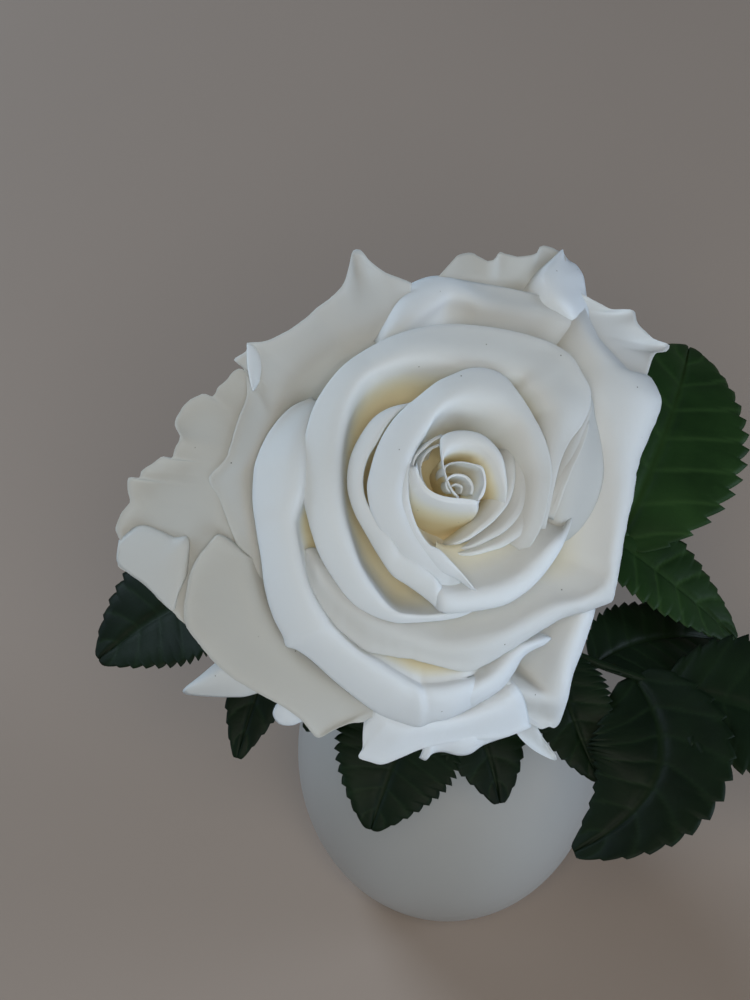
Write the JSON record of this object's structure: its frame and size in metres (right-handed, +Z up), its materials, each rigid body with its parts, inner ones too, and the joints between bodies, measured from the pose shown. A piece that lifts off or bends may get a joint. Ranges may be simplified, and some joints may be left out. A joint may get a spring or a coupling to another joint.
{
  "type": "rose",
  "caption": "White rose bloom with layered rolled petals on a short prickly stem with dark toothed leaves, standing in a small rounded pot.",
  "frame": {"origin": "centre of the pot's flat base", "axes": "+Z up, -Y towards the side that the bloom leans to and faces, +X towards the two large leaves"},
  "size_m": [0.1698, 0.1405, 0.1901],
  "materials": {
    "petal": "satin",
    "leaf": "satin",
    "stem": "satin",
    "pot": "gloss",
    "foam": "matt"
  },
  "bodies": {
    "root": {"pot": "pot", "foam": "foam", "stem": "stem", "calyx": "stem", "leaf_right_high": "leaf", "leaf_right_low": "leaf", "leaf_front": "leaf", "leaf_left": "leaf", "bloom": "petal"}
  },
  "joints": []
}
